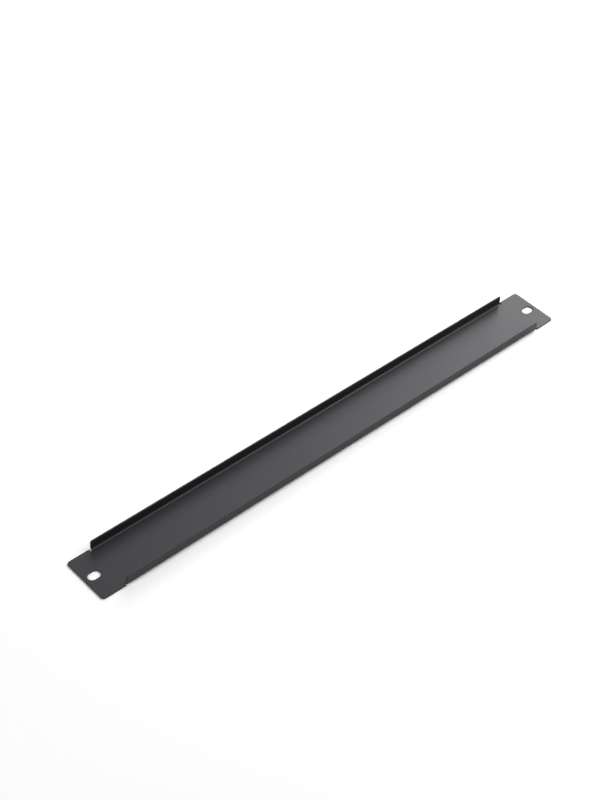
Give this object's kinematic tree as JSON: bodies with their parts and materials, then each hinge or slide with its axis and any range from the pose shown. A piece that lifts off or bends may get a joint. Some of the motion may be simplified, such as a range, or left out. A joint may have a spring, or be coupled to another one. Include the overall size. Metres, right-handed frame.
{
  "type": "rack blanking panel",
  "caption": "Flat sheet panel that closes an empty rack space, with stiffening flanges folded back along its long sides and a screw slot in each ear.",
  "frame": {"origin": "centre of the front face, which is the face the panel lies on", "axes": "+X along the length, +Y along the height of the front, +Z from the front face back towards the rack, the way the flanges point"},
  "size_m": [0.4826, 0.0436, 0.0095],
  "materials": {
    "powder_coat": "satin black powder coat with a fine texture, on steel sheet"
  },
  "bodies": {
    "root": {"panel": "powder_coat"}
  },
  "joints": []
}
